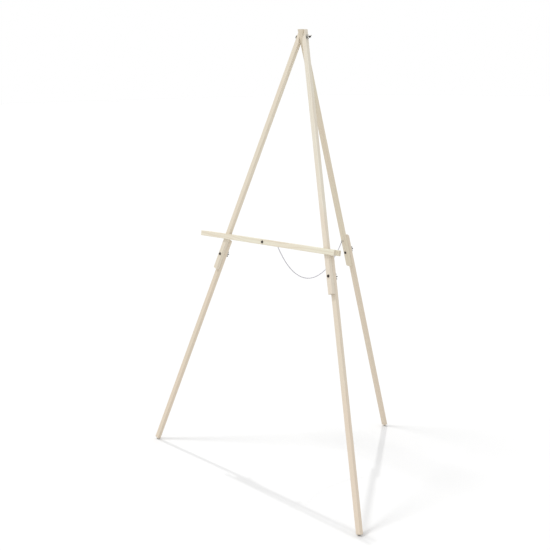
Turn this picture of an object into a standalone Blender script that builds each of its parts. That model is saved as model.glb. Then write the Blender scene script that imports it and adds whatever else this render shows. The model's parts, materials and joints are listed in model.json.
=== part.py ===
"""Tripod field easel: three two-piece wooden legs on one top bolt, a clamped ledge and a stay chain.

Metres, +Z up. The origin is on the floor, at the middle of the three feet's footprint.
+Y is the back: the rear leg stands there, and a picture stands on the ledge at the front.
"""

import math

import bmesh
import bpy
from mathutils import Matrix, Vector

# The stand as a whole
BOLT_HEIGHT = 1.5784         # centre of the top bolt above the floor
TOP_ABOVE_BOLT = 0.0265      # the three legs are cut off level this far above it
HALF_SPREAD = 0.5594         # front leg's centre line at the floor, from the middle
FRONT_REACH = 0.3159         # the front frame leans back this far from foot to bolt
REAR_REACH = 0.4576          # and the rear leg leans forward this far
TOP_OFFSET = 0.013           # front leg's centre line at the bolt, from the middle
FOOTPRINT_SHIFT = 0.0851     # the bolt stands this far in front of the footprint's middle

FRONT_LEAN = math.atan2(FRONT_REACH, BOLT_HEIGHT)
REAR_LEAN = math.atan2(REAR_REACH, BOLT_HEIGHT)
PLANE_LENGTH = math.hypot(FRONT_REACH, BOLT_HEIGHT)
SPLAY = math.atan2(HALF_SPREAD - TOP_OFFSET, PLANE_LENGTH)

# Leg sticks, and where each leg is joined, measured down the leg from the top bolt
STICK_WIDTH = 0.01905
STICK_THICKNESS = 0.0143
STICK_BEVEL = 0.0012
FRONT_JOINT = 0.8500         # to the leg bolt
REAR_JOINT = 0.8310
UPPER_PAST_JOINT = 0.0614    # the upper stick runs on below the leg bolt
LEFT_LOWER_ABOVE = 0.0588    # the lower sticks start above their bolts, under the tilted ledge
RIGHT_LOWER_ABOVE = 0.0692
REAR_LOWER_ABOVE = 0.0691
ROUGH_TOP = 0.060            # stick length above the top bolt before it is cut level
REAR_CORNER_CUT = 0.0075     # the rear leg's lapped ends lose their outer corners
FOOT_CHAMFER = 0.0030

# Ledge: two boards either side of the front legs, clamped by one bolt
BOARD_LENGTH = 0.711
BOARD_HEIGHT = 0.01905
BOARD_THICKNESS = 0.0095
BOARD_BEVEL = 0.0010
LEDGE_DOWN = 0.7315          # its bolt, down the front frame from the top bolt
LEDGE_BOLT_X = -0.0490       # the bolt is at the boards' middle, and they sit to the left
LEDGE_TILT = math.radians(1.1)

# Fasteners
GAP = 0.0003
BOLT_RADIUS = 0.0024
TOP_BOLT_RADIUS = 0.0030
HOLE_CLEARANCE = 0.0003
NUT_CLEARANCE = 0.00015
HEAD_RADIUS = 0.0052
HEAD_HEIGHT = 0.0048
TOP_HEAD_RADIUS = 0.0056
TOP_HEAD_HEIGHT = 0.0055
WASHER_RADIUS = 0.0062
TOP_WASHER_RADIUS = 0.0078
WASHER_THICKNESS = 0.0012
BOLT_PAST_NUT = 0.0060
NUT_SPAN = 0.0220            # across a wing nut's two ears
NUT_HUB = 0.0045
TOP_NUT_HUB = 0.0050
NUT_HEIGHT = 0.30            # this and the next four are shares of a nut's span or hub
HUB_TAPER = 0.80
EAR_ROOT = 0.73              # the ears start inside the hub's wall, clear of its bore
EAR_RADIUS = 0.135
EAR_UP = 0.36
EAR_THICKNESS = 0.10
TOP_NUT_TURN = math.radians(120)
LEDGE_NUT_TURN = math.radians(10)
LEG_NUT_TURNS = {"left": math.radians(80), "right": math.radians(85), "rear": math.radians(95)}
GLIDE_RADIUS = 0.0040
GLIDE_PIN_RADIUS = 0.0010
GLIDE_PIN_LENGTH = 0.0120

# Screw eyes and the chain between them
EYE_WIRE = 0.0008            # radius
EYE_RING = 0.0034            # radius of the ring's centre line
EYE_CLOSED = math.radians(322)
EYE_STAND_OFF = 0.0036       # bare shank between the wood and the ring
REAR_EYE_DOWN = 0.7810       # down the rear leg from the top bolt
REAR_EYE_SHANK = 0.0095
LEDGE_EYE_X = -0.0170
LEDGE_EYE_SHANK = 0.0070
CHAIN_RADIUS = 0.0020
CHAIN_STEP = 0.0095

# The chain hangs between the eyes, from behind the ledge to the rear leg
CHAIN_LEDGE_RUN = [
    (-0.0169, -0.2031, 0.8528),
    (-0.0162, -0.1900, 0.8268),
    (-0.0154, -0.1752, 0.8017),
    (-0.0145, -0.1587, 0.7777),
    (-0.0135, -0.1399, 0.7556),
    (-0.0124, -0.1184, 0.7360),
    (-0.0111, -0.0942, 0.7200),
    (-0.0096, -0.0672, 0.7094),
    (-0.0081, -0.0386, 0.7052),
    (-0.0066, -0.0097, 0.7083),
]
CHAIN_REAR_RUN = [
    (-0.0066, -0.0094, 0.7084),
    (-0.0052, 0.0177, 0.7181),
    (-0.0039, 0.0422, 0.7330),
    (-0.0028, 0.0642, 0.7516),
    (-0.0018, 0.0836, 0.7729),
    (-0.0009, 0.1009, 0.7960),
    (-0.0001, 0.1164, 0.8203),
]

# How finely round things are made, and how far the cutters reach
ROUND_STEPS = 20
SMALL_STEPS = 16
RING_STEPS = 20
DOME_STEPS = 5
WIDE_CUT = 0.20
SMALL_CUT = 0.05
SHARP_ANGLE = math.radians(35)

for leftover in list(bpy.data.objects):
    bpy.data.objects.remove(leftover, do_unlink=True)

easel = bpy.data.collections.new("tripod_field_easel")
cutters = bpy.data.collections.new("cutters")
bpy.context.scene.collection.children.link(easel)
bpy.context.scene.collection.children.link(cutters)


def finish(name, colour, roughness, metallic=0.0):
    """A plain Principled material."""
    material = bpy.data.materials.new(name)
    material.use_nodes = True
    shader = material.node_tree.nodes["Principled BSDF"]
    shader.inputs["Base Color"].default_value = (*colour, 1.0)
    shader.inputs["Roughness"].default_value = roughness
    shader.inputs["Metallic"].default_value = metallic
    return material


UPPER_WOOD = finish("upper_leg_pine", (0.80, 0.69, 0.53), 0.62)
LOWER_WOOD = finish("lower_leg_pine", (0.76, 0.64, 0.48), 0.62)
LEDGE_WOOD = finish("ledge_pine", (0.82, 0.73, 0.57), 0.60)
DARK_STEEL = finish("blackened_steel", (0.10, 0.09, 0.08), 0.42, 0.9)
ZINC_STEEL = finish("zinc_plated_steel", (0.46, 0.46, 0.44), 0.38, 1.0)
CHAIN_STEEL = finish("chain_steel", (0.62, 0.62, 0.65), 0.32, 1.0)
GLIDE_STEEL = finish("glide_steel", (0.20, 0.19, 0.18), 0.40, 1.0)


def axis(name, parent=None, place=(0, 0, 0), turn=(0, 0, 0)):
    """An empty that stands on a joint's axis, or marks the plane that a leg lies in."""
    empty = bpy.data.objects.new(name, None)
    empty.empty_display_size = 0.03
    empty.parent = parent
    empty.location = place
    empty.rotation_euler = turn
    easel.objects.link(empty)
    return empty


def place_part(name, data, parent, place=(0, 0, 0), turn=(0, 0, 0), material=None, home=easel):
    """Links a mesh or curve as one named sub-part."""
    part = bpy.data.objects.new(name, data)
    part.parent = parent
    part.location = place
    part.rotation_euler = turn
    if material is not None:
        data.materials.clear()
        data.materials.append(material)
    home.objects.link(part)
    return part


def box_mesh(name, low, high):
    """A box between two corners, from a unit cube."""
    low, high = Vector(low), Vector(high)
    size = high - low
    to_box = Matrix.Translation((low + high) / 2) @ Matrix.Diagonal((*size, 1.0))
    shape = bmesh.new()
    bmesh.ops.create_cube(shape, size=1.0, matrix=to_box)
    mesh = bpy.data.meshes.new(name)
    shape.to_mesh(mesh)
    shape.free()
    return mesh


def cylinder_mesh(name, radius, bottom, top, steps=ROUND_STEPS):
    """A capped cylinder along Z."""
    middle = Matrix.Translation((0, 0, (bottom + top) / 2))
    shape = bmesh.new()
    bmesh.ops.create_cone(shape, cap_ends=True, segments=steps, radius1=radius, radius2=radius,
                          depth=top - bottom, matrix=middle)
    mesh = bpy.data.meshes.new(name)
    shape.to_mesh(mesh)
    shape.free()
    return mesh


def as_cutter(tool):
    """Keeps a cutter out of the finished object."""
    tool.hide_render = True
    tool.display_type = "WIRE"
    return tool


def cut(part, tool):
    """Takes the cutter's shape out of a part."""
    step = part.modifiers.new(f"cut_{tool.name}", "BOOLEAN")
    step.operation = "DIFFERENCE"
    step.object = tool


def box_cutter(name, low, high, parent=None, place=(0, 0, 0), turn=(0, 0, 0)):
    return as_cutter(place_part(name, box_mesh(name, low, high), parent, place, turn, home=cutters))


def drill(name, radius, bottom, top, parent, place=(0, 0, 0), turn=(0, 0, 0)):
    mesh = cylinder_mesh(name, radius, bottom, top)
    return as_cutter(place_part(name, mesh, parent, place, turn, home=cutters))


def stick(name, low, high, parent, material, bevel):
    """A planed stick with its four long edges and its ends eased."""
    part = place_part(name, box_mesh(name, low, high), parent, material=material)
    eased = part.modifiers.new("eased_edges", "BEVEL")
    eased.width = bevel
    eased.segments = 2
    return part


def turned(name, profile, parent, material, place=(0, 0, 0), turn=(0, 0, 0), steps=ROUND_STEPS,
           ring=False):
    """A turned piece: (radius, height) points down its outer side, swept about Z."""
    mesh = bpy.data.meshes.new(name)
    edges = [(i, i + 1) for i in range(len(profile) - 1)]
    if ring:
        edges.append((len(profile) - 1, 0))
    mesh.from_pydata([(r, 0.0, z) for r, z in profile], edges, [])
    part = place_part(name, mesh, parent, place, turn, material)
    sweep = part.modifiers.new("turned", "SCREW")
    sweep.axis = "Z"
    sweep.angle = 2 * math.pi
    sweep.steps = steps
    sweep.render_steps = steps
    sweep.use_merge_vertices = True
    sweep.merge_threshold = 0.00001
    sweep.use_smooth_shade = True
    return part


def ring_profile(outer, inner, height):
    return [(outer, height), (outer, 0.0), (inner, 0.0), (inner, height)]


# ---------------------------------------------------------------- frames that the parts hang on
top_bolt_line = axis("top_bolt_line", place=(0, -FOOTPRINT_SHIFT, BOLT_HEIGHT))
front_plane = axis("front_plane", top_bolt_line, turn=(-FRONT_LEAN, 0, 0))
rear_line = axis("rear_leg_line", top_bolt_line, turn=(REAR_LEAN, 0, 0))
left_line = axis("left_leg_line", front_plane, (-TOP_OFFSET, 0, 0), (0, SPLAY, 0))
right_line = axis("right_leg_line", front_plane, (TOP_OFFSET, 0, 0), (0, -SPLAY, 0))

LAP = STICK_THICKNESS + GAP              # the lower stick lies this far behind the upper one
FRONT_TO_FLOOR = (BOLT_HEIGHT - math.sin(FRONT_LEAN) * LAP - GLIDE_RADIUS) / (
    math.cos(FRONT_LEAN) * math.cos(SPLAY))
REAR_TO_FLOOR = (BOLT_HEIGHT + math.sin(REAR_LEAN) * LAP - GLIDE_RADIUS) / math.cos(REAR_LEAN)

# ---------------------------------------------------------------- cutters for the tops
level_top = box_cutter("level_top", (-WIDE_CUT, -WIDE_CUT, TOP_ABOVE_BOLT),
                       (WIDE_CUT, WIDE_CUT, WIDE_CUT), top_bolt_line)
SLOT = STICK_WIDTH / 2 + GAP
rear_leg_slot = box_cutter("rear_leg_slot", (-SLOT, -WIDE_CUT, -WIDE_CUT),
                           (SLOT, WIDE_CUT, WIDE_CUT), top_bolt_line)
top_hole = drill("top_hole", TOP_BOLT_RADIUS + HOLE_CLEARANCE, -SMALL_CUT, SMALL_CUT,
                 top_bolt_line, turn=(0, math.pi / 2, 0))


def chamfer_foot(part, bottom, across, along):
    """Planes off the four arrises round a foot's end."""
    corner = math.sqrt(0.5) * FOOT_CHAMFER
    for side in (-1, 1):
        for name, place, turn in (
            ("width", (side * STICK_WIDTH / 2, across, bottom), (0, -side * math.pi / 4, 0)),
            ("depth", (0, across + side * STICK_THICKNESS / 2, bottom), (side * math.pi / 4, 0, 0)),
        ):
            word = "low" if side < 0 else "high"
            low = (-SMALL_CUT, -SMALL_CUT, -SMALL_CUT)
            high = (SMALL_CUT, SMALL_CUT, corner)
            tool = box_cutter(f"{part.name}_{name}_{word}", low, high, along, place, turn)
            cut(part, tool)


def build_leg(side, line, joint, lower_above, to_floor):
    """One leg: two sticks lapped front to back on a bolt, and a nail glide under the foot."""
    half, thick = STICK_WIDTH / 2, STICK_THICKNESS / 2
    upper = stick(f"{side}_upper_leg", (-half, -thick, -joint - UPPER_PAST_JOINT),
                  (half, thick, ROUGH_TOP), line, UPPER_WOOD, STICK_BEVEL)
    swing = axis(f"{side}_leg_swing", line, (0, 0, -joint))
    lower = stick(f"{side}_lower_leg", (-half, LAP - thick, joint - to_floor),
                  (half, LAP + thick, lower_above), swing, LOWER_WOOD, STICK_BEVEL)
    cut(upper, level_top)
    hole = drill(f"{side}_joint_hole", BOLT_RADIUS + HOLE_CLEARANCE, -SMALL_CUT,
                 SMALL_CUT, swing, turn=(math.pi / 2, 0, 0))
    cut(upper, hole)
    cut(lower, hole)
    cut(upper, top_hole)
    chamfer_foot(lower, joint - to_floor, LAP, swing)
    pin_hole = drill(f"{side}_glide_hole", GLIDE_PIN_RADIUS + HOLE_CLEARANCE, -SMALL_CUT,
                     GLIDE_PIN_LENGTH + GAP, swing, (0, LAP, joint - to_floor))
    cut(lower, pin_hole)
    foot_glide(side, swing, joint - to_floor)
    return upper, lower, swing


def foot_glide(side, swing, foot):
    """A nail glide: a pin up into the foot's end grain, and a half-round head that meets the floor."""
    pin = [(0.0, GLIDE_PIN_LENGTH), (GLIDE_PIN_RADIUS, GLIDE_PIN_LENGTH - GLIDE_PIN_RADIUS),
           (GLIDE_PIN_RADIUS, -GAP), (GLIDE_RADIUS * math.cos(GAP / GLIDE_RADIUS), -GAP)]
    head = [(GLIDE_RADIUS * math.cos(math.radians(a)), -GLIDE_RADIUS * math.sin(math.radians(a)))
            for a in range(15, 90, 15)]
    turned(f"{side}_foot_glide", pin + head + [(0.0, -GLIDE_RADIUS)], swing, GLIDE_STEEL,
           (0, LAP, foot), steps=SMALL_STEPS)


def dome(radius, height):
    """Points of a dome's outer side, from its crown down to its rim."""
    curve = (radius * radius + height * height) / (2 * height)
    sweep = math.asin(radius / curve) / DOME_STEPS
    return [(0.0, height)] + [
        (curve * math.sin(sweep * i), curve * math.cos(sweep * i) - curve + height)
        for i in range(1, DOME_STEPS + 1)]


def bolt(name, shank, head, head_height, length, parent, place, turn):
    """A round-headed bolt: the head's flat is at height 0, and the shank runs down from it."""
    tip = 0.3 * shank
    sides = [(shank, 0.0), (shank, tip - length), (shank - tip, -length), (0.0, -length)]
    return turned(name, dome(head, head_height) + sides, parent, DARK_STEEL, place, turn)


def washer(name, outer, inner, parent, place=(0, 0, 0), turn=(0, 0, 0)):
    return turned(name, ring_profile(outer, inner, WASHER_THICKNESS), parent, ZINC_STEEL, place, turn,
                  ring=True)


def wing_outline(hub, span):
    """One ear of a wing nut in its own plane: (out, up) points round a straight-sided, round-topped ear."""
    radius = EAR_RADIUS * span
    out, up = span / 2 - radius, EAR_UP * span
    foot = [(EAR_ROOT * hub, 0.08 * span), (1.15 * hub, 0.10 * span)]
    lobe = [(out + radius * math.cos(math.radians(a)), up + radius * math.sin(math.radians(a)))
            for a in range(-50, 161, 30)]
    return foot + lobe + [(EAR_ROOT * hub, 0.24 * span)]


def wing_nut(name, shank, hub, span, line, turn):
    """A wing nut: a tapered hub, bored for its bolt, joined with two flat ears."""
    height = NUT_HEIGHT * span
    bore = shank + NUT_CLEARANCE
    profile = [(HUB_TAPER * hub, height), (hub, 0.25 * height), (hub, 0.0), (bore, 0.0), (bore, height)]
    nut = turned(name, profile, line, ZINC_STEEL, turn=(0, 0, turn), steps=SMALL_STEPS, ring=True)
    for side, word in ((1, "right"), (-1, "left")):
        outline = [(side * x, z) for x, z in wing_outline(hub, span)]
        curve = bpy.data.curves.new(f"{name}_{word}_outline", "CURVE")
        curve.dimensions = "2D"
        curve.fill_mode = "BOTH"
        curve.extrude = EAR_THICKNESS * span / 2
        spline = curve.splines.new("POLY")
        spline.points.add(len(outline) - 1)
        for point, (x, z) in zip(spline.points, outline):
            point.co = (x, z, 0.0, 1.0)
        spline.use_cyclic_u = True
        flat = bpy.data.objects.new(f"{name}_{word}_flat", curve)
        cutters.objects.link(flat)
        bpy.context.view_layer.update()
        mesh = bpy.data.meshes.new_from_object(
            flat.evaluated_get(bpy.context.evaluated_depsgraph_get()))
        bpy.data.objects.remove(flat)
        shape = bmesh.new()
        shape.from_mesh(mesh)
        bmesh.ops.remove_doubles(shape, verts=shape.verts, dist=0.00001)
        bmesh.ops.recalc_face_normals(shape, faces=shape.faces)
        shape.to_mesh(mesh)
        shape.free()
        ear = as_cutter(place_part(f"{name}_{word}_ear", mesh, nut, turn=(math.pi / 2, 0, 0), home=cutters))
        join = nut.modifiers.new(f"{word}_ear", "BOOLEAN")
        join.operation = "UNION"
        join.object = ear
    return nut


def wire(name, points, radius, material, parent=None, place=(0, 0, 0), turn=(0, 0, 0), resolution=2):
    """A round wire or cord along a list of points."""
    curve = bpy.data.curves.new(name, "CURVE")
    curve.dimensions = "3D"
    curve.bevel_depth = radius
    curve.bevel_resolution = resolution
    curve.use_fill_caps = True
    spline = curve.splines.new("POLY")
    spline.points.add(len(points) - 1)
    for point, co in zip(spline.points, points):
        point.co = (*co, 1.0)
        point.radius = 1.0
    return place_part(name, curve, parent, place, turn, material)


# ---------------------------------------------------------------- the two front legs
left_upper, left_lower, left_swing = build_leg(
    "left", left_line, FRONT_JOINT, LEFT_LOWER_ABOVE, FRONT_TO_FLOOR)
right_upper, right_lower, right_swing = build_leg(
    "right", right_line, FRONT_JOINT, RIGHT_LOWER_ABOVE, FRONT_TO_FLOOR)
for upper in (left_upper, right_upper):
    cut(upper, rear_leg_slot)

# ---------------------------------------------------------------- the rear leg between them
rear_upper, rear_lower, rear_swing = build_leg(
    "rear", rear_line, REAR_JOINT, REAR_LOWER_ABOVE, REAR_TO_FLOOR)
front_corner = box_cutter(
    "rear_front_corner", (-SMALL_CUT, -SMALL_CUT, -SMALL_CUT),
    (SMALL_CUT, SMALL_CUT, math.sqrt(0.5) * REAR_CORNER_CUT), rear_swing,
    (0, -STICK_THICKNESS / 2, -UPPER_PAST_JOINT), (-math.pi / 4, 0, 0))
cut(rear_upper, front_corner)
back_corner = box_cutter(
    "rear_back_corner", (-SMALL_CUT, -SMALL_CUT, -math.sqrt(0.5) * REAR_CORNER_CUT),
    (SMALL_CUT, SMALL_CUT, SMALL_CUT), rear_swing,
    (0, LAP + STICK_THICKNESS / 2, REAR_LOWER_ABOVE), (-math.pi / 4, 0, 0))
cut(rear_lower, back_corner)

# ---------------------------------------------------------------- bolts, washers and wing nuts of the legs
LAP_FACE = LAP + STICK_THICKNESS / 2
NUT_AND_END = WASHER_THICKNESS + 3 * GAP + NUT_HEIGHT * NUT_SPAN + BOLT_PAST_NUT
LEG_BOLT_LENGTH = STICK_THICKNESS / 2 + LAP_FACE + NUT_AND_END
for side, swing in (("left", left_swing), ("right", right_swing), ("rear", rear_swing)):
    bolt(f"{side}_leg_bolt", BOLT_RADIUS, HEAD_RADIUS, HEAD_HEIGHT, LEG_BOLT_LENGTH, swing,
         (0, -STICK_THICKNESS / 2 - GAP, 0), (math.pi / 2, 0, 0))
    washer(f"{side}_leg_washer", WASHER_RADIUS, BOLT_RADIUS + HOLE_CLEARANCE, swing,
           (0, LAP_FACE + GAP, 0), (-math.pi / 2, 0, 0))
    nut_line = axis(f"{side}_nut_line", swing, (0, LAP_FACE + WASHER_THICKNESS + 2 * GAP, 0),
                    (-math.pi / 2, 0, 0))
    wing_nut(f"{side}_leg_wing_nut", BOLT_RADIUS, NUT_HUB, NUT_SPAN, nut_line, LEG_NUT_TURNS[side])

# ---------------------------------------------------------------- the top bolt through all three legs
OUTER_FACE = TOP_OFFSET + STICK_WIDTH / 2 / math.cos(SPLAY)
SEAT = OUTER_FACE + TOP_WASHER_RADIUS * math.tan(SPLAY) / math.cos(FRONT_LEAN) + GAP
TOP_BOLT_LENGTH = 2 * SEAT + WASHER_THICKNESS + NUT_AND_END
bolt("top_bolt", TOP_BOLT_RADIUS, TOP_HEAD_RADIUS, TOP_HEAD_HEIGHT, TOP_BOLT_LENGTH, top_bolt_line,
     (-SEAT - WASHER_THICKNESS - GAP, 0, 0), (0, -math.pi / 2, 0))
washer("top_head_washer", TOP_WASHER_RADIUS, TOP_BOLT_RADIUS + HOLE_CLEARANCE, top_bolt_line,
       (-SEAT, 0, 0), (0, -math.pi / 2, 0))
washer("top_nut_washer", TOP_WASHER_RADIUS, TOP_BOLT_RADIUS + HOLE_CLEARANCE, top_bolt_line,
       (SEAT, 0, 0), (0, math.pi / 2, 0))
top_nut_line = axis("top_nut_line", top_bolt_line, (SEAT + WASHER_THICKNESS + GAP, 0, 0),
                    (0, math.pi / 2, 0))
wing_nut("top_wing_nut", TOP_BOLT_RADIUS, TOP_NUT_HUB, NUT_SPAN, top_nut_line, TOP_NUT_TURN)

# ---------------------------------------------------------------- the ledge
ledge = axis("ledge_slide", front_plane, (LEDGE_BOLT_X, 0, -LEDGE_DOWN), (0, -LEDGE_TILT, 0))
BOARD_IN = STICK_THICKNESS / 2 + GAP
BOARD_OUT = BOARD_IN + BOARD_THICKNESS
front_board = stick("ledge_front_board", (-BOARD_LENGTH / 2, -BOARD_OUT, -BOARD_HEIGHT / 2),
                    (BOARD_LENGTH / 2, -BOARD_IN, BOARD_HEIGHT / 2), ledge, LEDGE_WOOD, BOARD_BEVEL)
back_board = stick("ledge_back_board", (-BOARD_LENGTH / 2, BOARD_IN, -BOARD_HEIGHT / 2),
                   (BOARD_LENGTH / 2, BOARD_OUT, BOARD_HEIGHT / 2), ledge, LEDGE_WOOD, BOARD_BEVEL)
ledge_hole = drill("ledge_hole", BOLT_RADIUS + HOLE_CLEARANCE, -SMALL_CUT, SMALL_CUT,
                   ledge, turn=(math.pi / 2, 0, 0))
cut(front_board, ledge_hole)
cut(back_board, ledge_hole)
LEDGE_BOLT_LENGTH = 2 * BOARD_OUT + NUT_AND_END
bolt("ledge_bolt", BOLT_RADIUS, HEAD_RADIUS, HEAD_HEIGHT, LEDGE_BOLT_LENGTH, ledge,
     (0, -BOARD_OUT - GAP, 0), (math.pi / 2, 0, 0))
washer("ledge_washer", WASHER_RADIUS, BOLT_RADIUS + HOLE_CLEARANCE, ledge,
       (0, BOARD_OUT + GAP, 0), (-math.pi / 2, 0, 0))
ledge_nut_line = axis("ledge_nut_line", ledge, (0, BOARD_OUT + WASHER_THICKNESS + 2 * GAP, 0),
                      (-math.pi / 2, 0, 0))
wing_nut("ledge_wing_nut", BOLT_RADIUS, NUT_HUB, NUT_SPAN, ledge_nut_line, LEDGE_NUT_TURN)


# ---------------------------------------------------------------- screw eyes and the chain
def eye_points(shank):
    """The bent wire of a screw eye: up its shank, and round its ring in the YZ plane."""
    centre = EYE_STAND_OFF + EYE_RING
    ring = []
    for i in range(RING_STEPS + 1):
        angle = EYE_CLOSED * i / RING_STEPS - math.pi / 2
        ring.append((0.0, EYE_RING * math.cos(angle), centre + EYE_RING * math.sin(angle)))
    return [(0.0, 0.0, -shank), (0.0, 0.0, -shank / 2), (0.0, 0.0, 0.0)] + ring


wire("rear_screw_eye", eye_points(REAR_EYE_SHANK), EYE_WIRE, ZINC_STEEL, rear_line,
     (0, -STICK_THICKNESS / 2, -REAR_EYE_DOWN), (math.pi / 2, 0, 0))
rear_eye_hole = drill("rear_eye_hole", EYE_WIRE + HOLE_CLEARANCE, -REAR_EYE_SHANK - GAP, SMALL_CUT,
                      rear_line, (0, -STICK_THICKNESS / 2, -REAR_EYE_DOWN), (math.pi / 2, 0, 0))
cut(rear_upper, rear_eye_hole)
LEDGE_EYE_PLACE = (LEDGE_EYE_X - LEDGE_BOLT_X, BOARD_OUT, 0)
wire("ledge_screw_eye", eye_points(LEDGE_EYE_SHANK), EYE_WIRE, ZINC_STEEL, ledge,
     LEDGE_EYE_PLACE, (-math.pi / 2, 0, 0))
ledge_eye_hole = drill("ledge_eye_hole", EYE_WIRE + HOLE_CLEARANCE, -LEDGE_EYE_SHANK - GAP,
                       SMALL_CUT, ledge, LEDGE_EYE_PLACE, (-math.pi / 2, 0, 0))
cut(back_board, ledge_eye_hole)


def smooth_through(route, step):
    """Evenly spaced points on a smooth curve through the route's own points."""
    points = [Vector(p) for p in route]
    ends = [2 * points[0] - points[1]] + points + [2 * points[-1] - points[-2]]
    fine = []
    for a, b, c, d in zip(ends, ends[1:], ends[2:], ends[3:]):
        for i in range(12):
            t = i / 12
            fine.append(0.5 * (2 * b + (c - a) * t + (2 * a - 5 * b + 4 * c - d) * t ** 2
                               + (3 * b - a - 3 * c + d) * t ** 3))
    fine.append(points[-1])
    along = [0.0]
    for p, q in zip(fine, fine[1:]):
        along.append(along[-1] + (q - p).length)
    count = max(2, round(along[-1] / step))
    spaced, k = [], 0
    for i in range(count + 1):
        at = along[-1] * i / count
        while k < len(along) - 2 and along[k + 1] < at:
            k += 1
        share = (at - along[k]) / max(along[k + 1] - along[k], 1e-9)
        spaced.append(fine[k].lerp(fine[k + 1], min(1.0, share)))
    return spaced


wire("chain_ledge_run", smooth_through(CHAIN_LEDGE_RUN, CHAIN_STEP), CHAIN_RADIUS, CHAIN_STEEL)
wire("chain_rear_run", smooth_through(CHAIN_REAR_RUN, CHAIN_STEP), CHAIN_RADIUS, CHAIN_STEEL)

for part in easel.objects:
    if part.type == "MESH":
        part.data.shade_smooth()
        part.data.set_sharp_from_angle(angle=SHARP_ANGLE)
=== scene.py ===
import json
import math

import bmesh
import bpy
from mathutils import Matrix, Vector


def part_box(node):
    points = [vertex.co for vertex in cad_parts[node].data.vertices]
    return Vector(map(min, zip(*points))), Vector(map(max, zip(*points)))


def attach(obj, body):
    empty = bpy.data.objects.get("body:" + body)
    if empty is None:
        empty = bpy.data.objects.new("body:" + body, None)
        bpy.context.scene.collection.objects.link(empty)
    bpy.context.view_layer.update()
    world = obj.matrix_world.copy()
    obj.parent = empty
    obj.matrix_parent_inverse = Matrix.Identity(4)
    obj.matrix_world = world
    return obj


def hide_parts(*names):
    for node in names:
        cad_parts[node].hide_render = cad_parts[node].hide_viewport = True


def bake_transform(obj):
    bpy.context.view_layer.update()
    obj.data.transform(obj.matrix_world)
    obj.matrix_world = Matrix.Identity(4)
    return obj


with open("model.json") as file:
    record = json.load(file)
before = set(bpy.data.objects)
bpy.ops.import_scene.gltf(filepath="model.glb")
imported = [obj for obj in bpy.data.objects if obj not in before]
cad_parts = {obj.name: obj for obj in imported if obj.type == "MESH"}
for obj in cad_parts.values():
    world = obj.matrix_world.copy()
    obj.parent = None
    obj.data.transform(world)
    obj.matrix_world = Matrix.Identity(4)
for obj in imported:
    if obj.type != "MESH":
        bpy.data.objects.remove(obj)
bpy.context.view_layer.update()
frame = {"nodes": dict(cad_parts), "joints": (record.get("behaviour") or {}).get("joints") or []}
joints = {joint["name"]: joint for joint in frame["joints"]}


# ---- The view ------------------------------------------------------------------------------
# The easel is seen from its front right, from a little under its own height, through a
# moderately long lens, so that all three legs and the chain between them show.
EYE = (2.3130, -2.3395, 1.4270)
EYE_TILT = math.radians(77.756)
EYE_ROLL = math.radians(0.724)
EYE_TURN = math.radians(47.476)
SENSOR_WIDTH = 36.0          # this and the lens in millimetres
LENS = 58.3
camera = bpy.data.objects.new("camera", bpy.data.cameras.new("camera"))
camera.location = EYE
camera.rotation_euler = (EYE_TILT, EYE_ROLL, EYE_TURN)
camera.data.sensor_width = SENSOR_WIDTH
camera.data.lens = LENS
bpy.context.scene.collection.objects.link(camera)
bpy.context.scene.camera = camera
bpy.context.scene.view_settings.view_transform = "Standard"


# ---- Stay chain ----------------------------------------------------------------------------
# A light chain of oval welded steel links, 445 mm long, that keeps the rear leg from sliding
# away. Its end links are threaded through two screw eyes, and it hangs free between them.
CHAIN_WIRE = 0.00070         # radius
LINK_WIDTH = 0.0040          # outside, and so the chain's own width
LINK_PITCH = 0.0046
LEDGE_SHARE = 0.6            # of that length, in the half that hangs from the ledge
RING_OUTER = 0.0042          # the screw eyes' rings: outer radius and the radius inside the wire
RING_INNER = 0.0026
LINK_SIDES = 10
LINK_ARC_STEPS = 8
LINK_AHEAD = 0.52            # just past a link's middle, in links, to read which way it runs
ROUTE_STEPS = 12             # fine points from one of a route's own points to the next
RUBBED_SHARE = 0.75          # how far an edge goes towards its rubbed colour
CLOUD_SHARE = 0.65           # how much of the roughness is tarnish; the tooth is the rest
LEDGE_RUN = [
    (-0.0169, -0.2031, 0.8528),
    (-0.0162, -0.1900, 0.8268),
    (-0.0154, -0.1752, 0.8017),
    (-0.0145, -0.1587, 0.7777),
    (-0.0135, -0.1399, 0.7556),
    (-0.0124, -0.1184, 0.7360),
    (-0.0111, -0.0942, 0.7200),
    (-0.0096, -0.0672, 0.7094),
    (-0.0081, -0.0386, 0.7052),
    (-0.0066, -0.0097, 0.7083),
]
REAR_RUN = [
    (-0.0066, -0.0094, 0.7084),
    (-0.0052, 0.0177, 0.7181),
    (-0.0039, 0.0422, 0.7330),
    (-0.0028, 0.0642, 0.7516),
    (-0.0018, 0.0836, 0.7729),
    (-0.0009, 0.1009, 0.7960),
    (-0.0001, 0.1164, 0.8203),
]


def new_object(name, mesh, material=None, crease=35):
    """Links a mesh as one piece, shaded smooth but for edges sharper than the crease angle."""
    piece = bpy.data.objects.new(name, mesh)
    bpy.context.scene.collection.objects.link(piece)
    if material is not None:
        mesh.materials.append(material)
    mesh.shade_smooth()
    mesh.set_sharp_from_angle(angle=math.radians(crease))
    return piece


def finish_mesh(name, shape):
    """Turns a bmesh into a mesh whose faces all look outward."""
    bmesh.ops.recalc_face_normals(shape, faces=shape.faces)
    mesh = bpy.data.meshes.new(name)
    shape.to_mesh(mesh)
    shape.free()
    return mesh


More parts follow.
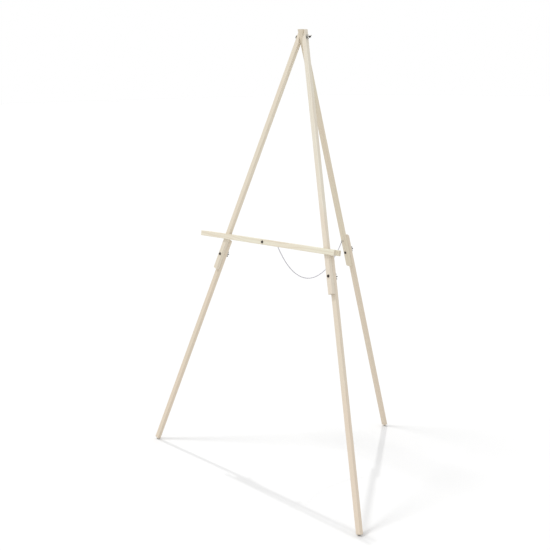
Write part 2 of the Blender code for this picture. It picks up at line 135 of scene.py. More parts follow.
def add_tube(shape, path, normals, radius, sides, closed=False):
    """Adds round wire along a path. Each point has one normal, square to the way the path runs."""
    rings = []
    count = len(path)
    for i, (point, normal) in enumerate(zip(path, normals)):
        after = path[(i + 1) % count] if closed or i < count - 1 else path[i]
        before = path[i - 1] if closed or i > 0 else path[i]
        across = (after - before).normalized().cross(normal).normalized()
        rings.append([
            shape.verts.new(point + radius * (math.cos(a) * normal + math.sin(a) * across))
            for a in (2 * math.pi * k / sides for k in range(sides))])
    for i in range(count if closed else count - 1):
        one, two = rings[i], rings[(i + 1) % count]
        for k in range(sides):
            shape.faces.new((one[k], one[(k + 1) % sides], two[(k + 1) % sides], two[k]))
    if not closed:
        shape.faces.new(rings[0][::-1])
        shape.faces.new(rings[-1])


def through(route):
    """Closely spaced points on a smooth curve through a route's own points."""
    ends = [2 * route[0] - route[1]] + route + [2 * route[-1] - route[-2]]
    fine = []
    for a, b, c, d in zip(ends, ends[1:], ends[2:], ends[3:]):
        for i in range(ROUTE_STEPS):
            t = i / ROUTE_STEPS
            fine.append(0.5 * (2 * b + (c - a) * t + (2 * a - 5 * b + 4 * c - d) * t ** 2
                               + (3 * b - a - 3 * c + d) * t ** 3))
    return fine + [route[-1]]


def walk(fine, places):
    """Points at the given distances along a finely spaced line."""
    along = [0.0]
    for p, q in zip(fine, fine[1:]):
        along.append(along[-1] + (q - p).length)
    found = []
    for place in places:
        k = max(i for i in range(len(along) - 1) if along[i] <= max(place, 0.0))
        share = (place - along[k]) / (along[k + 1] - along[k])
        found.append(fine[k].lerp(fine[k + 1], share))
    return found, along[-1]


def add_link(shape, middle, run, wide):
    """One oval link: two straight sides and two round ends, in the plane of run and wide."""
    bend = LINK_WIDTH / 2 - CHAIN_WIRE
    straight = LINK_PITCH / 2 + CHAIN_WIRE - bend
    path, normals = [], []
    for end in (1, -1):
        for i in range(LINK_ARC_STEPS + 1):
            angle = math.pi * i / LINK_ARC_STEPS - math.pi / 2
            out = end * (math.cos(angle) * run + math.sin(angle) * wide)
            path.append(middle + end * straight * run + bend * out)
            normals.append(out)
    add_tube(shape, path, normals, CHAIN_WIRE, LINK_SIDES, closed=True)


def eye_ring(node, side):
    """Centre of a screw eye's ring, from the corner of the node's box that the ring fills."""
    low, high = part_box(node)
    across = low.y + RING_OUTER if side < 0 else high.y - RING_OUTER
    return Vector(((low.x + high.x) / 2, across, low.z + RING_OUTER))


def add_node(tree, kind, inputs=(), **settings):
    """Adds a shader node, sets it up, and fills or links its inputs."""
    node = tree.nodes.new(kind)
    for name, value in settings.items():
        setattr(node, name, value)
    for name, value in dict(inputs).items():
        if isinstance(value, bpy.types.NodeSocket):
            tree.links.new(value, node.inputs[name])
        else:
            node.inputs[name].default_value = value
    return node


def sum_up(tree, operation, a, b=0.0, c=0.0, clamp=False):
    """One step of arithmetic on shader values."""
    node = add_node(tree, "ShaderNodeMath", {0: a, 1: b, 2: c}, operation=operation)
    node.use_clamp = clamp
    return node.outputs[0]


def blend_colours(tree, share, a, b):
    """Mixes colour a with colour b by a share from 0 to 1."""
    node = add_node(tree, "ShaderNodeMix", data_type="RGBA")
    for index, value in ((0, share), (6, a), (7, b)):
        if isinstance(value, bpy.types.NodeSocket):
            tree.links.new(value, node.inputs[index])
        else:
            node.inputs[index].default_value = value
    return node.outputs[2]


def steps_between(tree, value, low, high):
    """Spreads the values between low and high over 0 to 1, softly at both ends."""
    node = add_node(tree, "ShaderNodeMapRange", {"Value": value, "From Min": low, "From Max": high},
                    interpolation_type="SMOOTHSTEP")
    return node.outputs[0]


def new_group(name, inputs, outputs):
    """A shader node group with named sockets, and its own input and output nodes."""
    group = bpy.data.node_groups.new(name, "ShaderNodeTree")
    for label, default in inputs.items():
        kind = "NodeSocketFloat"
        if isinstance(default, tuple):
            kind = "NodeSocketColor" if len(default) == 4 else "NodeSocketVector"
        group.interface.new_socket(label, in_out="INPUT", socket_type=kind).default_value = default
    for label, kind in outputs.items():
        group.interface.new_socket(label, in_out="OUTPUT", socket_type=kind)
    return group, group.nodes.new("NodeGroupInput"), group.nodes.new("NodeGroupOutput")


def place_group(tree, group, values):
    """Places a node group in a material, with the material's own values on its inputs."""
    node = tree.nodes.new("ShaderNodeGroup")
    node.node_tree = group
    for name, value in values.items():
        node.inputs[name].default_value = value
    return node


def make_metal_skin():
    """Handled metal: cloudy tarnish, a fine tooth to the plating, and edges rubbed bright."""
    group, given, out = new_group(
        "metal_skin",
        {"Bright": (0.6, 0.6, 0.6, 1.0), "Tarnished": (0.4, 0.4, 0.4, 1.0),
         "Rubbed": (0.8, 0.8, 0.8, 1.0), "Cloud Scale": 300.0, "Tooth Scale": 3000.0,
         "Smoothest": 0.2, "Roughest": 0.5, "Edge Width": 0.0004},
        {"Colour": "NodeSocketColor", "Roughness": "NodeSocketFloat", "Height": "NodeSocketFloat"})
    where = group.nodes.new("ShaderNodeTexCoord").outputs["Object"]
    clouds = add_node(group, "ShaderNodeTexNoise",
                      {"Vector": where, "Scale": given.outputs["Cloud Scale"], "Detail": 4.0,
                       "Roughness": 0.6})
    tooth = add_node(group, "ShaderNodeTexNoise",
                     {"Vector": where, "Scale": given.outputs["Tooth Scale"], "Detail": 2.0})
    rounded = add_node(group, "ShaderNodeBevel", {"Radius": given.outputs["Edge Width"]}, samples=4)
    flat = group.nodes.new("ShaderNodeNewGeometry")
    facing = add_node(group, "ShaderNodeVectorMath",
                      {0: rounded.outputs[0], 1: flat.outputs["Normal"]}, operation="DOT_PRODUCT")
    edge = steps_between(group, facing.outputs["Value"], 0.99, 0.80)
    cloud = steps_between(group, clouds.outputs[0], 0.35, 0.68)
    body = blend_colours(group, cloud, given.outputs["Bright"], given.outputs["Tarnished"])
    rub = sum_up(group, "MULTIPLY", edge, RUBBED_SHARE)
    group.links.new(blend_colours(group, rub, body, given.outputs["Rubbed"]), out.inputs["Colour"])
    mottle = sum_up(group, "MULTIPLY", cloud, CLOUD_SHARE)
    mottle = sum_up(group, "MULTIPLY_ADD", tooth.outputs[0], 1.0 - CLOUD_SHARE, mottle)
    span = sum_up(group, "SUBTRACT", given.outputs["Roughest"], given.outputs["Smoothest"])
    rough = sum_up(group, "MULTIPLY_ADD", mottle, span, given.outputs["Smoothest"])
    group.links.new(rough, out.inputs["Roughness"])
    group.links.new(tooth.outputs[0], out.inputs["Height"])
    return group


METAL_SKIN = make_metal_skin()


def metal(name, bright, tarnished, rubbed, metallic, smoothest, roughest, relief):
    """A metal finish: the shared skin on a shader of its own."""
    material = bpy.data.materials.new(name)
    material.use_nodes = True
    tree = material.node_tree
    shader = tree.nodes["Principled BSDF"]
    skin = place_group(tree, METAL_SKIN, {
        "Bright": (*bright, 1.0), "Tarnished": (*tarnished, 1.0), "Rubbed": (*rubbed, 1.0),
        "Smoothest": smoothest, "Roughest": roughest})
    bump = add_node(tree, "ShaderNodeBump", {"Height": skin.outputs["Height"], "Distance": relief,
                                             "Strength": 0.6})
    shader.inputs["Metallic"].default_value = metallic
    tree.links.new(skin.outputs["Colour"], shader.inputs["Base Color"])
    tree.links.new(skin.outputs["Roughness"], shader.inputs["Roughness"])
    tree.links.new(bump.outputs["Normal"], shader.inputs["Normal"])
    return material


chain_steel = metal("chain_steel", (0.58, 0.57, 0.62), (0.41, 0.40, 0.44), (0.76, 0.75, 0.79),
                    metallic=0.95, smoothest=0.26, roughest=0.44, relief=0.00002)


def build_chain(name, route, first, start_ring=None, end_ring=None):
    """Threads links along a route, each turned a quarter turn from the last. A link that hangs
    in a ring lies across it, with its bow resting on the inside of the wire."""
    points = [Vector(point) for point in route]
    if start_ring:
        points.insert(0, start_ring + RING_INNER * (points[0] - start_ring).normalized())
    if end_ring:
        points.append(end_ring + RING_INNER * (points[-1] - end_ring).normalized())
    fine = through(points)
    length = walk(fine, [0.0])[1]
    count = round(length / LINK_PITCH)
    if end_ring and (first + count) % 2 == 0:
        count += 1
    pitch = length / count
    middles, _ = walk(fine, [(i + 0.5) * pitch for i in range(count)])
    aheads, _ = walk(fine, [(i + LINK_AHEAD) * pitch for i in range(count)])
    shape = bmesh.new()
    for i, (middle, ahead) in enumerate(zip(middles, aheads)):
        run = (ahead - middle).normalized()
        upright = run.cross(Vector((1.0, 0.0, 0.0))).normalized()
        wide = run.cross(upright) if (first + i) % 2 == 0 else upright
        add_link(shape, middle, run, wide)
    chain = new_object(name, finish_mesh(name, shape), chain_steel, crease=60)
    return chain, fine, first + count


ledge_ring = eye_ring("ledge_screw_eye", 1)
rear_ring = eye_ring("rear_screw_eye", -1)
ledge_chain, ledge_line, next_link = build_chain(
    "chain_ledge_links", LEDGE_RUN, 0, start_ring=ledge_ring)
rear_chain, rear_line, _ = build_chain(
    "chain_rear_links", REAR_RUN, next_link, end_ring=rear_ring)
for chain, line, bodies, node, share in (
    (ledge_chain, ledge_line, ("ledge", "front_frame"), "chain_ledge_run", LEDGE_SHARE),
    (rear_chain, rear_line, ("front_frame", "rear_leg"), "chain_rear_run", 1 - LEDGE_SHARE),
):
    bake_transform(chain)
    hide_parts(node)


# ---- Upper legs ----------------------------------------------------------------------------
# Three planed sticks of pale knot-free softwood, left bare, that meet on one bolt at the top.
# The grain runs along each stick. Sawn ends show the growth rings and take up more dirt.
PALE = (0.672, 0.616, 0.508)
CREAM = (0.700, 0.664, 0.572)
STRAW = (0.645, 0.588, 0.462)
RING = (0.560, 0.465, 0.345)
BLUSH = (0.672, 0.565, 0.462)
SAWN = (0.490, 0.425, 0.320)
RINGS_PER_METRE = 260.0
FIBRES_PER_METRE = 900.0
GRAIN_RELIEF = 0.00012
LOG_DRIFT = (7.0, 7.0, 1.8)          # slow changes of figure, drawn out along the stick
FIBRE_DRAW = (1.0, 1.0, 0.012)       # and fibres, drawn out much further
RING_WANDER = 0.035                  # how far the rings stray from true circles
PATCH_SCALE = 2.4
FIBRE_STRENGTH = 0.22
SAWN_STRENGTH = 0.60
ARRIS_WIDTH = 0.0012
ARRIS_DIRT = 0.8
DRY_ROUGHNESS = 0.58


def make_softwood():
    """Softwood figure: growth rings cut along the log, fine fibres, sawn ends, grubby arrises."""
    group, given, out = new_group(
        "softwood",
        {"Middle": (0.0, 0.0, 0.0), "Grain Turn": (0.0, 0.0, 0.0), "Log": (0.05, 0.02, 0.0),
         "Pale": (*PALE, 1.0), "Ring": (*RING, 1.0), "Blush": (*BLUSH, 1.0), "Sawn": (*SAWN, 1.0),
         "Ring Strength": 0.5, "Blush Strength": 0.5},
        {"Colour": "NodeSocketColor", "Roughness": "NodeSocketFloat", "Height": "NodeSocketFloat"})
    where = group.nodes.new("ShaderNodeTexCoord").outputs["Object"]
    surface = group.nodes.new("ShaderNodeNewGeometry").outputs["Normal"]
    local = add_node(group, "ShaderNodeVectorMath", {0: where, 1: given.outputs["Middle"]},
                     operation="SUBTRACT")
    straight = add_node(group, "ShaderNodeVectorRotate",
                        {"Vector": local.outputs[0], "Rotation": given.outputs["Grain Turn"]},
                        rotation_type="EULER_XYZ")
    in_log = add_node(group, "ShaderNodeVectorMath",
                      {0: straight.outputs[0], 1: given.outputs["Log"]}, operation="ADD").outputs[0]
    slow = add_node(group, "ShaderNodeVectorMath", {0: in_log, 1: LOG_DRIFT},
                    operation="MULTIPLY").outputs[0]
    wander = add_node(group, "ShaderNodeTexNoise", {"Vector": slow, "Scale": 1.0, "Detail": 3.0})
    split = add_node(group, "ShaderNodeSeparateXYZ", {0: in_log})
    square = sum_up(group, "MULTIPLY", split.outputs[0], split.outputs[0])
    square = sum_up(group, "MULTIPLY_ADD", split.outputs[1], split.outputs[1], square)
    radius = sum_up(group, "SQRT", square)
    radius = sum_up(group, "MULTIPLY_ADD", wander.outputs[0], RING_WANDER, radius)
    rings = sum_up(group, "FRACT", sum_up(group, "MULTIPLY", radius, RINGS_PER_METRE))
    late = steps_between(group, rings, 0.40, 0.96)
    late = sum_up(group, "MULTIPLY", late, steps_between(group, rings, 1.0, 0.97))
    drawn_out = add_node(group, "ShaderNodeVectorMath", {0: straight.outputs[0], 1: FIBRE_DRAW},
                         operation="MULTIPLY").outputs[0]
    fibres = add_node(group, "ShaderNodeTexNoise", {"Vector": drawn_out, "Scale": FIBRES_PER_METRE,
                                                    "Detail": 3.0, "Roughness": 0.65})
    fibre = steps_between(group, fibres.outputs[0], 0.40, 0.75)
    broad = add_node(group, "ShaderNodeTexNoise",
                     {"Vector": slow, "Scale": PATCH_SCALE, "Detail": 2.0})
    patch = steps_between(group, broad.outputs[0], 0.42, 0.70)

    colour = blend_colours(group, sum_up(group, "MULTIPLY", patch, given.outputs["Blush Strength"]),
                           given.outputs["Pale"], given.outputs["Blush"])
    colour = blend_colours(group, sum_up(group, "MULTIPLY", late, given.outputs["Ring Strength"]),
                           colour, given.outputs["Ring"])
    colour = blend_colours(group, sum_up(group, "MULTIPLY", fibre, FIBRE_STRENGTH),
                           colour, given.outputs["Ring"])

    turned = add_node(group, "ShaderNodeVectorRotate",
                      {"Vector": surface, "Rotation": given.outputs["Grain Turn"]},
                      rotation_type="EULER_XYZ")
    facing_end = add_node(group, "ShaderNodeSeparateXYZ", {0: turned.outputs[0]})
    end = steps_between(group, sum_up(group, "ABSOLUTE", facing_end.outputs[2]), 0.60, 0.90)
    colour = blend_colours(group, sum_up(group, "MULTIPLY", end, SAWN_STRENGTH),
                           colour, given.outputs["Sawn"])

    rounded = add_node(group, "ShaderNodeBevel", {"Radius": ARRIS_WIDTH}, samples=4)
    facing = add_node(group, "ShaderNodeVectorMath", {0: rounded.outputs[0], 1: surface},
                      operation="DOT_PRODUCT")
    arris = steps_between(group, facing.outputs["Value"], 0.99, 0.86)
    dirt = sum_up(group, "MULTIPLY", broad.outputs[0], ARRIS_DIRT)
    handled = sum_up(group, "MULTIPLY", arris, dirt)
    colour = blend_colours(group, handled, colour, given.outputs["Sawn"])
    group.links.new(colour, out.inputs["Colour"])

    rough = sum_up(group, "MULTIPLY_ADD", late, -0.10, DRY_ROUGHNESS)
    rough = sum_up(group, "MULTIPLY_ADD", fibre, 0.10, rough)
    rough = sum_up(group, "MULTIPLY_ADD", end, 0.20, rough, clamp=True)
    group.links.new(rough, out.inputs["Roughness"])
    height = sum_up(group, "MULTIPLY_ADD", fibre, -0.6, sum_up(group, "MULTIPLY", late, 0.4))
    group.links.new(height, out.inputs["Height"])
    return group


SOFTWOOD = make_softwood()


def grain_of(node):
    """Middle of a stick, and the direction of its length, from its two ends."""
    points = [vertex.co.copy() for vertex in frame["nodes"][node].data.vertices]
    middle = sum(points, Vector()) / len(points)
    far = max(points, key=lambda point: (point - middle).length)
    rough_run = (far - middle).normalized()
    tops = [point for point in points if (point - middle).dot(rough_run) > 0.0]
    tails = [point for point in points if (point - middle).dot(rough_run) <= 0.0]
    run = sum(tops, Vector()) / len(tops) - sum(tails, Vector()) / len(tails)
    return middle, (run if run.z + run.x > 0.0 else -run).normalized()


def softwood(node, log, pale=PALE, ring_strength=0.45, blush_strength=0.45):
    """Gives a stick its own softwood, sawn from its own place in the log."""
    middle, run = grain_of(node)
    turn = run.rotation_difference(Vector((0.0, 0.0, 1.0))).to_euler()
    material = bpy.data.materials.new(f"{node}_softwood")
    material.use_nodes = True
    tree = material.node_tree
    shader = tree.nodes["Principled BSDF"]
    figure = place_group(tree, SOFTWOOD, {
        "Middle": middle, "Grain Turn": turn, "Log": (*log, 0.0), "Pale": (*pale, 1.0),
        "Ring": (*RING, 1.0), "Blush": (*BLUSH, 1.0), "Sawn": (*SAWN, 1.0),
        "Ring Strength": ring_strength, "Blush Strength": blush_strength})
    bump = add_node(tree, "ShaderNodeBump", {"Height": figure.outputs["Height"],
                                             "Distance": GRAIN_RELIEF, "Strength": 0.35})
    shader.inputs["Specular IOR Level"].default_value = 0.35
    tree.links.new(figure.outputs["Colour"], shader.inputs["Base Color"])
    tree.links.new(figure.outputs["Roughness"], shader.inputs["Roughness"])
    tree.links.new(bump.outputs["Normal"], shader.inputs["Normal"])
    stick = frame["nodes"][node]
    stick.data.materials.clear()
    stick.data.materials.append(material)


softwood("left_upper_leg", (0.031, 0.017))
softwood("right_upper_leg", (-0.022, 0.036), CREAM)
softwood("rear_upper_leg", (0.044, -0.012), STRAW)


# ---- Lower legs ----------------------------------------------------------------------------
# Three more sticks of the same stock, each lapped behind its upper leg on a single bolt. They
# are a shade warmer, being sawn nearer the heart.
WARM_PALE = (0.668, 0.598, 0.495)
TAN = (0.645, 0.568, 0.458)
softwood("left_lower_leg", (0.019, 0.027), TAN, ring_strength=0.55, blush_strength=0.60)
softwood("right_lower_leg", (-0.035, 0.014), WARM_PALE, ring_strength=0.50, blush_strength=0.60)
softwood("rear_lower_leg", (0.026, 0.033), TAN, ring_strength=0.55, blush_strength=0.55)


# ---- Ledge ---------------------------------------------------------------------------------
# Two thinner boards of the palest stock, one before the front legs and one behind, pinched
# together round the legs by one bolt so that friction holds the ledge at any height.
LEDGE_PALE = (0.695, 0.666, 0.545)
softwood("ledge_front_board", (0.024, 0.041), LEDGE_PALE, ring_strength=0.40, blush_strength=0.30)
softwood("ledge_back_board", (-0.038, 0.020), LEDGE_PALE, ring_strength=0.45, blush_strength=0.35)


# ---- Screw eyes ----------------------------------------------------------------------------
# Two small zinc-plated screw eyes, each bent from one wire: one is driven into the back of the
# ledge, the other into the front of the rear leg. The chain's end links hang in their rings.
EYE_WIRE = 0.0008            # radius
EYE_STEM = 0.0012            # straight wire below the ring
EYE_BURIED = 0.0085          # and how much further down it goes
EYE_STEPS = 40
EYE_SIDES = 12
EYE_OPENS = math.radians(13)     # where the ring leaves the stem, and where it comes back to it
EYE_CLOSES = math.radians(341)
# The zinc is given darker colours than bright plating: painted shade, matched to the shaded wing
# nuts. The eyes and washers take the same darkened zinc.
zinc_with_painted_shade = metal("zinc_plate_painted_shade", (0.44, 0.43, 0.40), (0.27, 0.26, 0.24), (0.70, 0.69, 0.67),
             metallic=1.0, smoothest=0.26, roughest=0.46, relief=0.00002)


def build_eye(name, ring, out, body, node):
    """A wire that comes out of the wood and bends down and round into an upright ring."""
    bend = RING_OUTER - EYE_WIRE
    side = Vector((1.0, 0.0, 0.0))
    along = out.cross(side)
    if along.z > 0.0:
        along = -along
    path = [ring - (bend + EYE_STEM + EYE_BURIED) * out, ring - (bend + EYE_STEM) * out]
    normals = [side, side]
    for i in range(EYE_STEPS + 1):
        angle = EYE_OPENS + (EYE_CLOSES - EYE_OPENS) * i / EYE_STEPS
        path.append(ring + bend * (math.sin(angle) * along - math.cos(angle) * out))
        normals.append(side)
    shape = bmesh.new()
    add_tube(shape, path, normals, EYE_WIRE, EYE_SIDES)
    eye = new_object(name, finish_mesh(name, shape), zinc_with_painted_shade, crease=50)
    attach(eye, body)
    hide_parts(node)


lean = Vector(joints["ledge_nut_turn"]["axis"])
rear_lean = Vector(joints["rear_nut_turn"]["axis"])
build_eye("ledge_eye", ledge_ring, lean, "ledge", "ledge_screw_eye")
build_eye("rear_eye", rear_ring, -rear_lean, "rear_leg", "rear_screw_eye")


# ---- Bolts ---------------------------------------------------------------------------------
# Five round-headed steel bolts, blackened, with rolled threads that show where they stand out
# of their wing nuts. One goes through all three legs, one through each lap, one through the ledge.
BOLTS = {                    # joint of its nut, body, shank radius, head radius and height, pitch
    "top_bolt": ("top_nut_turn", "front_frame", 0.0030, 0.0056, 0.0055, 0.0010),
    "left_leg_bolt": ("left_nut_turn", "front_frame", 0.0024, 0.0052, 0.0048, 0.0008),
    "right_leg_bolt": ("right_nut_turn", "front_frame", 0.0024, 0.0052, 0.0048, 0.0008),
    "rear_leg_bolt": ("rear_nut_turn", "rear_leg", 0.0024, 0.0052, 0.0048, 0.0008),
    "ledge_bolt": ("ledge_nut_turn", "ledge", 0.0024, 0.0052, 0.0048, 0.0008),
}
THREAD_LENGTH = 0.0140
THREAD_DEPTH = 0.16          # share of the shank's radius
THREAD_ROWS = 6              # to each turn
THREAD_UNDER = 0.01          # share of the radius that the rolled crests lie below the shank
THREAD_RUN_IN = 3.0          # the thread has its full depth from a third of its length on,
THREAD_RUN_OUT = 1.6         # and over the last half turn it falls off
THREAD_AT_TIP = 0.25         # to this share of its depth
TIP_CHAMFER = 0.0004
TIP_SHARE = 0.72             # of the shank's radius, left flat at the tip
HEAD_LIP = 0.00005           # the head's rim is broken by this much,
HEAD_FLAT = 0.99             # inside this share of its radius
ROUND_STEPS = 40
DOME_STEPS = 9
black = metal("blackened_steel", (0.060, 0.050, 0.045), (0.036, 0.031, 0.029), (0.26, 0.24, 0.22),
              metallic=0.80, smoothest=0.32, roughest=0.52, relief=0.00003)


def stand(place, up, turn=0.0):
    """The place of a turned piece: its own Z lies along up, and it is turned about that."""
    beside = Vector((0.0, 1.0, 0.0)) if abs(up.z) > 0.99 else Vector((0.0, 0.0, 1.0))
    level = (beside - up * beside.dot(up)).normalized()
    basis = Matrix((level.cross(up), level, up)).transposed().to_4x4()
    return Matrix.Translation(place) @ basis @ Matrix.Rotation(turn, 4, "Z")


def add_turned(shape, rows, steps, place, ring=False):
    """Turns a profile about Z. A row is a height and a radius, or a radius for each angle."""
    bands = []
    for height, radius in rows:
        if radius == 0.0:
            bands.append([shape.verts.new(place @ Vector((0.0, 0.0, height)))] * steps)
            continue
        band = []
        for k in range(steps):
            angle = 2 * math.pi * k / steps
            out = radius(angle) if callable(radius) else radius
            point = Vector((out * math.cos(angle), out * math.sin(angle), height))
            band.append(shape.verts.new(place @ point))
        bands.append(band)
    pairs = list(zip(bands, bands[1:])) + ([(bands[-1], bands[0])] if ring else [])
    for one, two in pairs:
        for k in range(steps):
            corners = (one[k], one[(k + 1) % steps], two[(k + 1) % steps], two[k])
            shape.faces.new(list(dict.fromkeys(corners)))


def reach(node, place, up):
    """How far a solid reaches below and above a place, along a direction."""
    heights = [(vertex.co - place).dot(up) for vertex in frame["nodes"][node].data.vertices]
    return min(heights), max(heights)


def dome_rows(radius, height, crown):
    """A round head's profile, from its crown to its rim."""
    curve = (radius * radius + height * height) / (2 * height)
    half = math.asin(radius / curve)
    rows = [(crown, 0.0)]
    for i in range(1, DOME_STEPS + 1):
        angle = half * i / DOME_STEPS
        rows.append((crown + curve - curve * math.cos(angle), curve * math.sin(angle)))
    return rows


def thread_rows(shank, pitch, start, tip):
    """A rolled thread: the radius rises and falls once in each pitch, and climbs with the angle."""
    count = round((tip - start) / pitch * THREAD_ROWS)
    rows = []
    for i in range(count + 1):
        height = start + (tip - start) * i / count
        fall = THREAD_RUN_OUT * (count - i) / THREAD_ROWS + THREAD_AT_TIP
        fade = min(1.0, THREAD_RUN_IN * i / count, fall)

        def radius(angle, height=height, fade=fade):
            turn = (height / pitch - angle / (2 * math.pi)) % 1.0
            groove = THREAD_DEPTH * fade * (1.0 - abs(2.0 * turn - 1.0))
            return shank * (1.0 - groove - THREAD_UNDER)
        rows.append((height, radius))
    return rows


for name, (joint, body, shank, head, head_height, pitch) in BOLTS.items():
    place = Vector(joints[joint]["pos_m"])
    up = Vector(joints[joint]["axis"])
    crown, tip = reach(name, place, up)
    rim = crown + head_height
    rows = dome_rows(head, head_height, crown)
    rows += [(rim + HEAD_LIP, HEAD_FLAT * head), (rim + HEAD_LIP, shank)]
    rows += [(tip - THREAD_LENGTH, shank)]
    rows += thread_rows(shank, pitch, tip - THREAD_LENGTH, tip - TIP_CHAMFER)
    rows += [(tip, TIP_SHARE * shank), (tip, 0.0)]
    shape = bmesh.new()
    add_turned(shape, rows, ROUND_STEPS, stand(place, up))
    piece = new_object(f"{name}_threaded", finish_mesh(name, shape), black, crease=40)
    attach(piece, body)
    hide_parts(name)


# ---- Washers -------------------------------------------------------------------------------
# Stamped zinc-plated washers with slightly rolled edges: one under each wing nut, and one under
# the top bolt's head.
WASHER_ROLL = 0.00025
WASHER_ROLL_STEPS = 4
WASHERS = {                  # joint of the nut, side of the bolt, body, radius, bore
    "top_head_washer": ("top_nut_turn", -1, "front_frame", 0.0078, 0.0033),
    "top_nut_washer": ("top_nut_turn", 1, "front_frame", 0.0078, 0.0033),
    "left_leg_washer": ("left_nut_turn", 1, "left_shank", 0.0062, 0.0027),
    "right_leg_washer": ("right_nut_turn", 1, "right_shank", 0.0062, 0.0027),
    "rear_leg_washer": ("rear_nut_turn", 1, "rear_shank", 0.0062, 0.0027),
    "ledge_washer": ("ledge_nut_turn", 1, "ledge", 0.0062, 0.0027),
}
for name, (joint, side, body, outer, bore) in WASHERS.items():
    place = Vector(joints[joint]["pos_m"])
    up = side * Vector(joints[joint]["axis"])
    low, high = reach(name, place, up)
    rows = [(low, outer - WASHER_ROLL / 2), (low, bore), (high - WASHER_ROLL / 2, bore),
            (high, bore + WASHER_ROLL / 2)]
    for i in range(WASHER_ROLL_STEPS + 1):
        angle = math.pi / 2 * i / WASHER_ROLL_STEPS
        height = high - WASHER_ROLL * 2 * (1 - math.cos(angle))
        rows.append((height, outer - WASHER_ROLL * (1 - math.sin(angle))))
    shape = bmesh.new()
    add_turned(shape, rows, ROUND_STEPS, stand(place, up), ring=True)
    piece = new_object(f"{name}_stamped", finish_mesh(name, shape), zinc_with_painted_shade, crease=40)
    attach(piece, body)
    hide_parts(name)


# ---- Wing nuts -----------------------------------------------------------------------------
# Cast wing nuts, zinc plated: a tapered hub, tapped for its bolt, and two upswept ears that run
# into it in soft fillets. Each was left where the hand stopped turning it.
NUT_SPAN = 0.0220
NUT_HEIGHT = 0.0066
HUB_TAPER = 0.80             # the hub's radius at the top, as a share of the one at the foot
HUB_SKIRT = 0.25             # share of its height that is straight
EAR_RADIUS = 0.0030
EAR_UP = 0.0079
EAR_ROOT = 0.0022            # thickness of an ear where it joins the hub
EAR_TIP = 0.0016
EAR_INSIDE = 0.75            # an ear starts inside the hub, at this share of its radius,
EAR_NECK = 1.15              # and its neck is at this one
EAR_LOW = 0.0015             # heights of its lower edge there, of the neck's,
NECK_LOW = 0.0020
EAR_HIGH = 0.0056            # and of its upper edge at the hub
EAR_POINTS = 15
EAR_FROM = -55.0             # the lobe's arc starts here, in degrees, with a point at each step
EAR_STEP = 15.5
CASTING_GRAIN = 0.00026      # size of the grid that the casting is melted into one skin on
NUTS = {                     # joint, body, hub, bore, turn of the ears
    "top_wing_nut": ("top_nut_turn", "top_nut", 0.0050, 0.00315, 30.0),
    "left_leg_wing_nut": ("left_nut_turn", "left_nut", 0.0045, 0.00255, -81.3),
    "right_leg_wing_nut": ("right_nut_turn", "right_nut", 0.0045, 0.00255, -113.7),
    "rear_leg_wing_nut": ("rear_nut_turn", "rear_nut", 0.0045, 0.00255, -85.0),
    "ledge_wing_nut": ("ledge_nut_turn", "ledge_nut", 0.0045, 0.00255, -171.1),
}


def add_ear(shape, hub, side, place):
    """One ear: a flat lobe on a short neck, thicker at its root than at its tip."""
    out = NUT_SPAN / 2 - EAR_RADIUS
    outline = [(EAR_INSIDE * hub, EAR_LOW), (EAR_NECK * hub, NECK_LOW)]
    for i in range(EAR_POINTS):
        angle = math.radians(EAR_FROM + EAR_STEP * i)
        outline.append((out + EAR_RADIUS * math.cos(angle), EAR_UP + EAR_RADIUS * math.sin(angle)))
    outline.append((EAR_INSIDE * hub, EAR_HIGH))
    faces = []
    for half in (-1, 1):
        corners = []
        for x, z in outline:
            share = min(1.0, max(0.0, (x - hub) / (NUT_SPAN / 2 - hub)))
            thick = half * (EAR_ROOT + (EAR_TIP - EAR_ROOT) * share) / 2
            corners.append(shape.verts.new(place @ Vector((side * x, thick, z))))
        faces.append(corners)
    shape.faces.new(faces[0])
    shape.faces.new(faces[1][::-1])
    for k in range(len(outline)):
        after = (k + 1) % len(outline)
        shape.faces.new((faces[0][k], faces[1][k], faces[1][after], faces[0][after]))


for name, (joint, body, hub, bore, turn) in NUTS.items():
    shape = bmesh.new()
    upright = Matrix.Identity(4)
    rows = [(NUT_HEIGHT, HUB_TAPER * hub), (HUB_SKIRT * NUT_HEIGHT, hub), (0.0, hub), (0.0, bore),
            (NUT_HEIGHT, bore)]
    add_turned(shape, rows, ROUND_STEPS, upright, ring=True)
    for side in (1, -1):
        add_ear(shape, hub, side, upright)
    rough_nut = new_object(f"{name}_rough", finish_mesh(name, shape))
    melt = rough_nut.modifiers.new("melt", "REMESH")
    melt.mode = "VOXEL"
    melt.voxel_size = CASTING_GRAIN
    soften = rough_nut.modifiers.new("soften", "SMOOTH")
    soften.factor = 0.5
    soften.iterations = 4
    skin = bpy.data.meshes.new_from_object(
        rough_nut.evaluated_get(bpy.context.evaluated_depsgraph_get()))
    bpy.data.objects.remove(rough_nut)
    place = Vector(joints[joint]["pos_m"])
    up = Vector(joints[joint]["axis"])
    skin.transform(stand(place, up, math.radians(turn)))
    # The zinc on the nuts is darkened: painted shade.
    piece = new_object(f"{name}_cast", skin, zinc_with_painted_shade, crease=60)
    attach(piece, body)
    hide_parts(name)


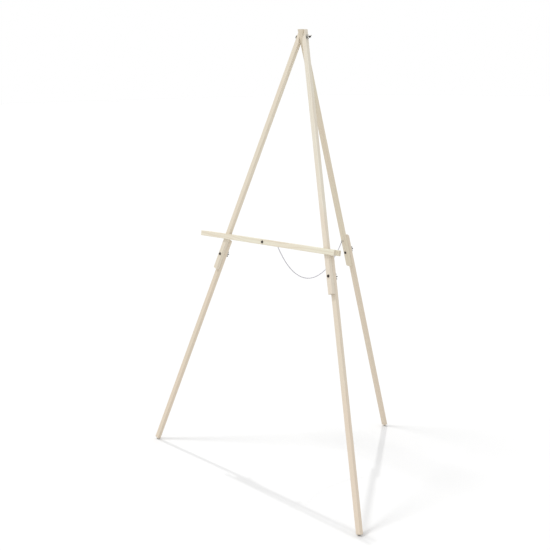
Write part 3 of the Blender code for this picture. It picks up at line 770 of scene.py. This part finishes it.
# ---- Foot glides ---------------------------------------------------------------------------
# A plain steel nail glide under each foot, driven up into the end grain: its half-round head is
# what touches the floor.
GLIDE_RADIUS = 0.0040
GLIDE_PIN = 0.0010           # radius of the nail
GLIDE_SWEEP = math.radians(88)
GLIDE_STEPS = 12
glide_metal = metal("glide_steel", (0.30, 0.29, 0.28), (0.16, 0.15, 0.15), (0.55, 0.54, 0.53),
                    metallic=1.0, smoothest=0.3, roughest=0.5, relief=0.00002)
for side in ("left", "right", "rear"):
    node = f"{side}_foot_glide"
    points = [vertex.co.copy() for vertex in frame["nodes"][node].data.vertices]
    place = sum(points, Vector()) / len(points)
    _, up = grain_of(f"{side}_lower_leg")
    low, high = reach(node, place, up)
    rows = [(low, 0.0)]
    for i in range(1, GLIDE_STEPS + 1):
        angle = GLIDE_SWEEP * i / GLIDE_STEPS
        rows.append((low + GLIDE_RADIUS * (1 - math.cos(angle)), GLIDE_RADIUS * math.sin(angle)))
    rows += [(rows[-1][0], GLIDE_PIN), (high - GLIDE_PIN, GLIDE_PIN), (high, 0.0)]
    shape = bmesh.new()
    add_turned(shape, rows, ROUND_STEPS, stand(place, up))
    piece = new_object(f"{side}_nail_glide", finish_mesh(node, shape), glide_metal, crease=40)
    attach(piece, f"{side}_shank")
    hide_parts(node)


# ---- Floor and light -----------------------------------------------------------------------
# A wide white floor and even studio light from all round. One small lamp high behind the left
# leg draws the legs' faint shadows on the floor, and a broad one in front models the faces.
FLOOR_REACH = 60.0
WHITE = (0.68, 0.68, 0.68, 1.0)
LAMPS = (                    # name, strength, breadth in degrees, the direction that it shines from
    ("shadow_lamp", 0.78, 1.1, (-0.56, 0.29, 1.573)),
    ("face_lamp", 0.95, 12.0, (-0.35, -0.50, 1.10)),
)
floor_shape = bmesh.new()
bmesh.ops.create_grid(floor_shape, x_segments=1, y_segments=1, size=FLOOR_REACH)
floor_paint = bpy.data.materials.new("floor_paint")
floor_paint.use_nodes = True
matt = floor_paint.node_tree.nodes["Principled BSDF"]
matt.inputs["Base Color"].default_value = WHITE
matt.inputs["Roughness"].default_value = 0.9
floor = new_object("floor", finish_mesh("floor", floor_shape), floor_paint)

world = bpy.data.worlds.new("studio")
bpy.context.scene.world = world
world.use_nodes = True
sky = world.node_tree.nodes["Background"]
sky.inputs["Color"].default_value = (1.0, 1.0, 1.0, 1.0)
sky.inputs["Strength"].default_value = 1.0
for name, strength, breadth, source in LAMPS:
    lamp = bpy.data.lights.new(name, "SUN")
    lamp.energy = strength
    lamp.angle = math.radians(breadth)
    holder = bpy.data.objects.new(name, lamp)
    holder.rotation_euler = Vector(source).to_track_quat("Z", "Y").to_euler()
    bpy.context.scene.collection.objects.link(holder)
